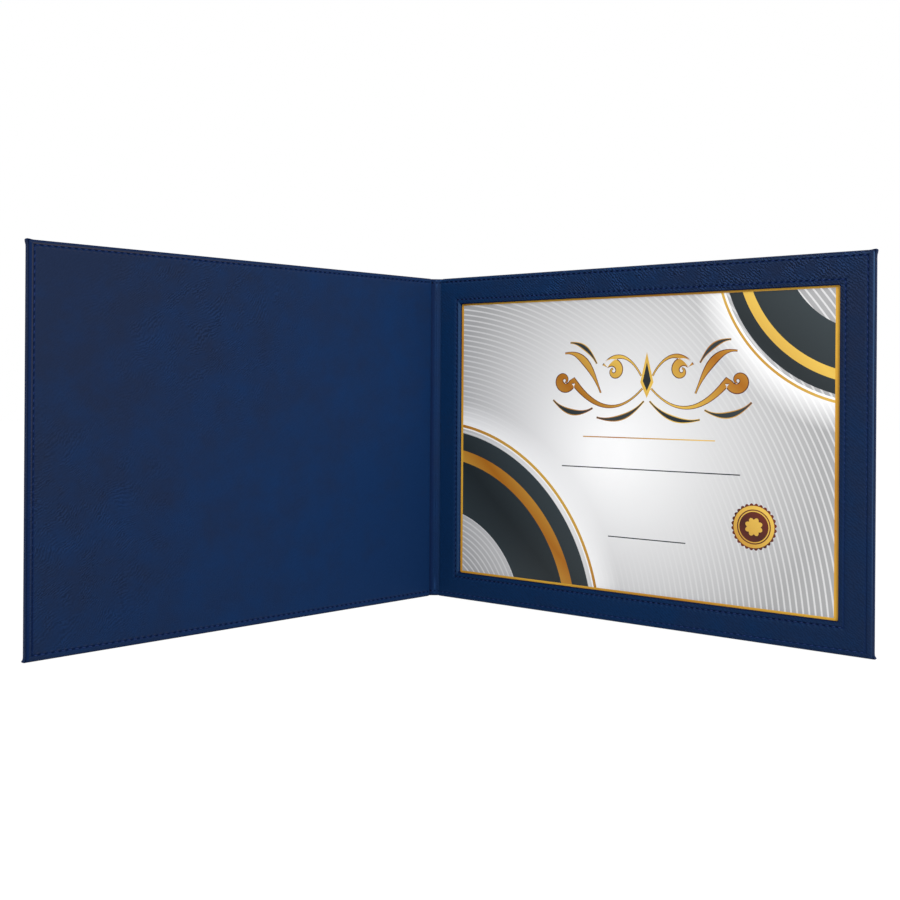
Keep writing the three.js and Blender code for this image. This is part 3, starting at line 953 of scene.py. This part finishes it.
right_gutter, right_rows, right_surface = gutter_strip(
    "right_gutter_lining", right_leaf, UPTURNED_END, FRAME_SIDE_RAMP, highlighted_climb, RIGHT_GUTTER_HOLES
)
left_gutter, left_rows, left_surface = gutter_strip(
    "left_gutter_lining", left_leaf, FLAT_END, 0.0, shaded_side, LEFT_GUTTER_HOLES
)
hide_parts("spine_lining")
right_gutter_stitches = stitches("right_gutter_stitches", right_leaf, right_rows, right_surface, 1)
left_gutter_stitches = stitches("left_gutter_stitches", left_leaf, left_rows, left_surface, 1)
for piece, slot in ((right_gutter, "lining_leatherette"), (right_gutter_stitches, "thread")):
    bend_start, bend_end = (right_leaf.place(along, 0, 0) for along in GUTTER_BEND)
    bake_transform(piece)
    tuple(bend_start)
    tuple(bend_end)
for piece, slot in ((left_gutter, "lining_leatherette"), (left_gutter_stitches, "thread")):
    bend_end, bend_start = left_leaf.crease_ends()
    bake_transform(piece)
    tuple(bend_start)
    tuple(bend_end)

# Each row's piece, leaf, needle holes, face and side, and the node that it replaces
SEWN_ROWS = (
    ("left_edge_stitches", left_leaf, left_row, left_face, 1, "left_edge_needle_thread"),
    ("left_back_stitches", left_leaf, left_back_row, 0.0, -1, "left_edge_bobbin_thread"),
    ("right_edge_stitches", right_leaf, right_row, frame_face, 1, "right_edge_needle_thread"),
    ("right_back_stitches", right_leaf, right_back_row, 0.0, -1, "right_edge_bobbin_thread"),
    ("window_stitches", right_leaf, window_row, frame_face, 1, "window_needle_thread"),
    ("window_under_stitches", right_leaf, window_row, frame_back, -1, "window_bobbin_thread"),
)


def bedded(row, face, sign):
    """The face under a row's thread. Down the fore side of an inner face the thread lies deeper."""
    fore_side = max(along for along, _ in row)
    top = max(up for _, up in row)

    def surface(along, up):
        bed = BED_DEPTH * fade(along, fore_side - 2.0, fore_side - 0.5) * (1 - (up / top) ** 2)
        return face - bed if sign > 0 else face
    return surface


for name, leaf, row, face, sign, replaced in SEWN_ROWS:
    body = "cover_leaf" if leaf is left_leaf else "display_leaf"
    radius = THREAD_RADIUS
    sink = FACE_SINK if sign > 0 else BACK_SINK
    if name == "window_under_stitches":
        radius, sink = UNDER_THREAD_RADIUS, UNDER_THREAD_SINK
    piece = stitches(name, leaf, [row], bedded(row, face, sign), sign, radius, sink, "window" in name)
    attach(piece, body)
    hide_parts(replaced)

for node_name, material in (
    ("right_board", greyboard),
    ("left_board", greyboard),
    ("frame_card", greyboard),
    ("pocket_lining", dark_paper),
    ("left_infill", dark_paper),
):
    mesh = frame["nodes"][node_name].data
    mesh.materials.clear()
    mesh.materials.append(material)


# The certificate

PAPER, SLATE, GOLD, WINE, RIM = range(5)
WHITE = srgb(255, 255, 255)
CARD_GREY, LINE_GREY = srgb(168, 168, 169), srgb(232, 232, 232)
# Places on the paper, from its lower corner at the spine
# The printed glow's middle lies towards the spine and it fades over a short reach, partly as painted light
GLOW_PLACE, GLOW_START, GLOW_END = (124, 102), 12, 138
SEAL_PLACE = (222, 62)
# The ornament's middle: from the window's middle, and up
ORNAMENT_SHIFT, ORNAMENT_UP = 12, 150
# The foot of each ruled line, half its length, and its ink
RULES = ((112, 46, GOLD), (92, 62, SLATE), (48, 27, SLATE))
RULE_WIDTH = 0.7
ARC_RADII = ((134, 132, 128, 116, 108, 72), (97, 95.4, 92, 84, 78, 54))
ARC_INKS = (GOLD, PAPER, SLATE, GOLD, SLATE, PAPER)
# How far the middles of the arcs lie beyond the window's sides, and beyond its foot and head
ARC_OUT, ARC_BEYOND = 21, 27
BAND_WIDTH, BAND_LAP = 17, 3
LINES_PER_METRE, LINE_SHARE = 280.0, 0.3
# The printed border: how far it runs behind the frame, and how much shows on each side of the window
RIM_LAP = 1.2
RIM_SPINE, RIM_FOOT, RIM_FORE, RIM_HEAD = 1.6, 1.4, 2.9, 1.2


def print_material(name, colour, shade, period):
    """Ink that runs from dark to light and back along the diagonal."""
    material, tree, shader = new_material(name)
    along, up, _ = node(tree, "ShaderNodeSeparateXYZ", {0: read_flat(tree)}).outputs
    run = maths(tree, "PINGPONG", maths(tree, "ADD", along, up), period)
    tone = mixed(tree, between(tree, run, 0.0, period), shade, colour)
    speck = noise_of(tree, read_flat(tree), 1500.0, 2.0)
    connect(tree, shader, tone, between(tree, speck, 0.3, 0.7, 0.38, 0.5), 0.3)
    return material


def paper_material(name, corners):
    """Grey card with a white glow, fine pale arcs, and a soft white band round each corner's arcs."""
    material, tree, shader = new_material(name)
    flat = read_flat(tree)

    def reach_from(place):
        return distance_from(tree, flat, (place[0] * MM, place[1] * MM, 0.0))

    reach = reach_from(GLOW_PLACE)
    tone = mixed(tree, between(tree, reach, GLOW_START * MM, GLOW_END * MM), WHITE, CARD_GREY)
    reaches = [(reach_from(middle), radius) for middle, radius in corners]
    lines = maths(tree, "FRACT", maths(tree, "MULTIPLY", reaches[0][0], LINES_PER_METRE))
    line = maths(tree, "LESS_THAN", lines, LINE_SHARE)
    faint = maths(tree, "MULTIPLY", line, between(tree, reach, 0.05, 0.16, 0.0, 0.75))
    tone = mixed(tree, faint, tone, LINE_GREY)
    for distance, radius in reaches:
        band = between(tree, distance, radius * MM, (radius + BAND_WIDTH) * MM, 0.85, 0.0)
        beyond = maths(tree, "GREATER_THAN", distance, (radius - BAND_LAP) * MM)
        tone = mixed(tree, maths(tree, "MULTIPLY", band, beyond), tone, WHITE)
    fibre = noise_of(tree, flat, 1800.0, 4.0)
    connect(tree, shader, tone, between(tree, fibre, 0.3, 0.7, 0.5, 0.62), 0.25, (fibre, 0.1, 0.00005))
    return material


def round_outline(middle, reaches):
    """An outline through points at these reaches, evenly round a middle."""
    angles = [2 * math.pi * k / len(reaches) for k in range(len(reaches))]
    return [(middle[0] + r * math.cos(a), middle[1] + r * math.sin(a)) for r, a in zip(reaches, angles)]


def circle(middle, radius, steps=72):
    return round_outline(middle, [radius] * steps)


def scalloped(middle, radius, scallops, depth):
    steps = scallops * 8
    angles = [2 * math.pi * k / steps for k in range(steps)]
    return round_outline(middle, [radius + depth * abs(math.sin(a * scallops / 2)) for a in angles])


def rectangle(low_x, low_y, high_x, high_y):
    return [(low_x, low_y), (high_x, low_y), (high_x, high_y), (low_x, high_y)]


def within(outline, points):
    """Which points lie inside an outline."""
    inside = np.zeros(len(points), bool)
    x, y = points[:, 0], points[:, 1]
    for (x0, y0), (x1, y1) in zip(outline, outline[1:] + outline[:1]):
        crosses = (y0 > y) != (y1 > y)
        if y0 != y1:
            inside ^= crosses & (x < (x1 - x0) * (y - y0) / (y1 - y0) + x0)
    return inside


def ribbon(line, widest, thinnest):
    """Outline of a pen stroke that swells in the middle."""
    points = np.array(line)
    ways = np.gradient(points, axis=0)
    ways /= np.linalg.norm(ways, axis=1)[:, None]
    across = np.stack((-ways[:, 1], ways[:, 0]), axis=1)
    shares = np.linspace(0, math.pi, len(points))
    half = (thinnest + (widest - thinnest) * np.sin(shares) ** 2)[:, None] / 2
    outline = np.concatenate((points + across * half, (points - across * half)[::-1]))
    return [tuple(p) for p in outline]


def bezier(a, b, c, d, steps=24):
    shares = np.linspace(0, 1, steps)[:, None]
    a, b, c, d = (np.array(p, float) for p in (a, b, c, d))
    rest = 1 - shares
    return rest**3 * a + 3 * rest**2 * shares * b + 3 * rest * shares**2 * c + shares**3 * d


def curl(middle, start, turns, outer, inner, steps=48):
    """A scroll that winds in. The sign of turns gives its direction, and start its first angle."""
    shares = np.linspace(0, 1, steps)
    angles = math.radians(start) + 2 * math.pi * turns * shares
    reach = outer * (inner / outer) ** shares
    return np.stack((middle[0] + reach * np.cos(angles), middle[1] + reach * np.sin(angles)), axis=1)


def flourish(middle):
    """A scroll ornament, the same on both sides of its middle: outlines with their inks."""
    wing = bezier((3, -6), (22, -26), (40, -18), (54, -1))
    wing = np.concatenate((wing[:-1], curl((60.5, -1), 180, 1.2, 6.5, 1.6)))
    inner = bezier((4, 2), (11, 15), (22, 19), (30, 8))
    inner = np.concatenate((inner[:-1], curl((23.6, 5.2), 24, 1.15, 6.9, 1.5)))
    strokes = (
        (bezier((39, -19), (50, -25), (61, -22), (69, -14)), 3.0, SLATE),
        (bezier((36, 10), (41, 19), (48, 24), (56, 24)), 2.4, SLATE),
        (bezier((2, -14), (12, -25), (24, -28), (36, -25)), 2.6, SLATE),
        (bezier((33, -9), (40, 8), (48, 19), (60, 17)), 4.2, GOLD),
        (inner, 4.6, GOLD),
        (wing, 5.4, GOLD),
    )
    outlines = []
    for line, widest, ink in strokes:
        for side in (1, -1):
            placed = line * (side, 1) + middle
            outlines.append((ribbon(placed, widest + 1.2, 1.3), WINE if ink == GOLD else GOLD))
            outlines.append((ribbon(placed, widest, 0.6), ink))
    corners = ((0, -12), (4.6, -2), (0, 17), (-4.6, -2))
    for size, ink in ((1.0, GOLD), (0.62, SLATE)):
        outlines.append(([(middle[0] + size * x, middle[1] + size * y) for x, y in corners], ink))
    return outlines


def seal(middle):
    """A plain rosette: outlines with their inks."""
    return [
        (scalloped(middle, 12.9, 28, 1.2), WINE),
        (circle(middle, 12.6), GOLD),
        (circle(middle, 10.4), WINE),
        (circle(middle, 9.7), GOLD),
        (circle(middle, 9.0), WINE),
        (scalloped(middle, 4.2, 8, 1.4), GOLD),
    ]


def arc_middles(view):
    """Middles of the arcs at the lower left and the upper right. view is the window, seen on the paper."""
    view_low, view_high, view_foot, view_head = view
    return (view_low - ARC_OUT, view_foot - ARC_BEYOND), (view_high + ARC_OUT, view_head + ARC_BEYOND)


def printed_shapes(view):
    """Outlines in the order of printing, each with its ink."""
    shapes = []
    for middle, radii in zip(arc_middles(view), ARC_RADII):
        shapes += [(circle(middle, radius, 200), ink) for radius, ink in zip(radii, ARC_INKS)]
    middle = (view[0] + view[1]) / 2 + ORNAMENT_SHIFT
    shapes += flourish((middle, ORNAMENT_UP))
    for foot, half, ink in RULES:
        shapes.append((rectangle(middle - half, foot, middle + half, foot + RULE_WIDTH), ink))
    return shapes + seal(SEAL_PLACE)


def printed_triangles(border, shapes, rims):
    """Points of the printed face, and its triangles with their inks. No triangle crosses an outline."""
    points, edges = [], []
    for outline in [border] + [outline for outline, _ in shapes] + rims:
        first, count = len(points), len(outline)
        points.extend(Vector(p) for p in outline)
        edges.extend((first + k, first + (k + 1) % count) for k in range(count))
    found = delaunay_2d_cdt(points, edges, [], 0, 1e-5)
    places, triangles = np.array([tuple(p) for p in found[0]]), found[2]
    centres = np.array([places[list(t)].mean(axis=0) for t in triangles])
    inks = np.zeros(len(triangles), int)
    for outline, ink in shapes:
        inks[within(outline, centres)] = ink
    inks[within(rims[0], centres) & ~within(rims[1], centres)] = RIM
    kept = [k for k, inside in enumerate(within(border, centres)) if inside]
    return places, [triangles[k] for k in kept], [int(inks[k]) for k in kept]


def edge_loop(triangles):
    """The points round a sheet of triangles, in order."""
    sides = [pair for t in triangles for pair in zip(t, t[1:] + t[:1])]
    known = set(sides)
    follow = {a: b for a, b in sides if (b, a) not in known}
    loop = [next(iter(follow))]
    while follow[loop[-1]] != loop[0]:
        loop.append(follow[loop[-1]])
    return loop


def certificate_sheet():
    """The sheet: its printed face in inks, and plain paper at its edges and back."""
    (low, high), (back, face), (foot, head) = right_leaf.span("certificate")
    border = rectangle(0, 0, high - low, head - foot)
    view = (window[0] - low, window[1] - low, window[2] - foot, window[3] - foot)
    rims = [
        rectangle(view[0] - RIM_LAP, view[2] - RIM_LAP, view[1] + RIM_LAP, view[3] + RIM_LAP),
        rectangle(view[0] + RIM_SPINE, view[2] + RIM_FOOT, view[1] - RIM_FORE, view[3] - RIM_HEAD),
    ]
    places, triangles, inks = printed_triangles(border, printed_shapes(view), rims)
    loop = edge_loop(triangles)
    shape = Shape()

    def add(v, deep, layer):
        x, y = places[v]
        return shape.add(right_leaf.place(low + x, deep, foot + y), (x, y, layer))

    front = {v: add(v, face, 0) for v in sorted({v for t in triangles for v in t})}
    rear = {v: add(v, back, 1) for v in loop}
    shape.faces += [tuple(front[v] for v in t) for t in triangles]
    shape.faces += [(front[b], front[a], rear[a], rear[b]) for a, b in zip(loop, loop[1:] + loop[:1])]
    shape.faces.append(tuple(rear[v] for v in reversed(loop)))
    inks += [PAPER] * (len(shape.faces) - len(inks))
    materials = [
        paper_material("certificate_paper", [(m, r[0]) for m, r in zip(arc_middles(view), ARC_RADII)]),
        print_material("slate_ink", srgb(49, 58, 62), srgb(29, 36, 39), 0.05),
        print_material("gold_ink", srgb(230, 190, 84), srgb(168, 103, 22), 0.06),
        print_material("wine_ink", srgb(107, 40, 22), srgb(65, 22, 15), 0.02),
        print_material("rim_ink", srgb(224, 172, 56), srgb(196, 134, 34), 0.09),
    ]
    return shape.build("certificate_sheet", materials, inks, smooth=False)


certificate = certificate_sheet()
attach(certificate, "sheet")
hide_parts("certificate")


# Stage, camera and light, in metres

FLOOR_HALF, FLOOR_LEVEL = 4.0, -0.0002
FLOOR_GREY = (0.74, 0.74, 0.74, 1)
FLOOR_GLOW_SHARE, FLOOR_GLOW_STRENGTH = 0.85, 1.12
AMBIENT = 0.61
LAMP_PLACE, LAMP_TARGET = (1.0, -0.7, 0.9), (0.0, 0.05, 0.11)
LAMP_SIZE, LAMP_POWER = 0.6, 16.6
CAMERA_YAW, CAMERA_ROLL = math.radians(38.424), math.radians(0.377)
# In millimetres: along the display leaf, in from its outer face, and up
CAMERA_PLACE = (502.4, 661.3, 149.1)
LENS, SENSOR_WIDTH = 45.86, 36.0
SHIFT_X, SHIFT_Y = 0.0347, -0.0678


def seen_directly(tree):
    """1 for rays that show the background, 0 for rays that light the object."""
    path = node(tree, "ShaderNodeLightPath").outputs
    shown = maths(tree, "MAXIMUM", path["Is Camera Ray"], path["Is Glossy Ray"])
    return maths(tree, "MAXIMUM", shown, path["Is Transmission Ray"])


def make_floor():
    work = bmesh.new()
    bmesh.ops.create_grid(work, x_segments=8, y_segments=8, size=FLOOR_HALF)
    mesh = bpy.data.meshes.new("floor")
    work.to_mesh(mesh)
    work.free()
    floor = new_object("floor", mesh)
    floor.location = (0, 0, FLOOR_LEVEL)
    material, tree, shader = new_material("pale_floor")
    connect(tree, shader, FLOOR_GREY, 0.9, 0.0)
    glow = node(tree, "ShaderNodeEmission", {"Color": WHITE, "Strength": FLOOR_GLOW_STRENGTH})
    share = maths(tree, "MULTIPLY", seen_directly(tree), FLOOR_GLOW_SHARE)
    blend = node(tree, "ShaderNodeMixShader", {0: share, 1: shader.outputs[0], 2: glow.outputs[0]})
    tree.links.new(blend.outputs[0], tree.nodes["Material Output"].inputs["Surface"])
    mesh.materials.append(material)


def make_world():
    world = bpy.data.worlds.new("studio")
    bpy.context.scene.world = world
    world.use_nodes = True
    tree = world.node_tree
    background = tree.nodes["Background"]
    background.inputs["Color"].default_value = WHITE
    share = seen_directly(tree)
    strength = maths(tree, "ADD", maths(tree, "MULTIPLY", share, 1 - AMBIENT), AMBIENT)
    tree.links.new(strength, background.inputs["Strength"])


def make_lamp():
    lamp = bpy.data.lights.new("key_softbox", "AREA")
    lamp.shape = "DISK"
    lamp.size = LAMP_SIZE
    lamp.energy = LAMP_POWER
    made = new_object("key_softbox", lamp)
    made.location = LAMP_PLACE
    made.rotation_euler = (Vector(LAMP_TARGET) - Vector(LAMP_PLACE)).to_track_quat("-Z", "Y").to_euler()


def make_camera():
    """Looks straight ahead into the fold from above half the holder's height, with a slight roll."""
    forward = Vector((-math.sin(CAMERA_YAW), math.cos(CAMERA_YAW), 0))
    level = Vector((math.cos(CAMERA_YAW), math.sin(CAMERA_YAW), 0))
    upright = Vector((0, 0, 1))
    right = level * math.cos(CAMERA_ROLL) + upright * math.sin(CAMERA_ROLL)
    up = upright * math.cos(CAMERA_ROLL) - level * math.sin(CAMERA_ROLL)
    camera = bpy.data.cameras.new("camera")
    camera.sensor_width = SENSOR_WIDTH
    camera.lens = LENS
    camera.shift_x, camera.shift_y = SHIFT_X, SHIFT_Y
    camera.clip_start, camera.clip_end = 0.01, 50.0
    made = new_object("camera", camera)
    turned = Matrix((right, up, -forward)).transposed().to_4x4()
    made.matrix_world = Matrix.Translation(right_leaf.place(*CAMERA_PLACE)) @ turned
    bpy.context.scene.camera = made


make_floor()
make_world()
make_lamp()
make_camera()
bpy.context.scene.view_settings.view_transform = "Standard"
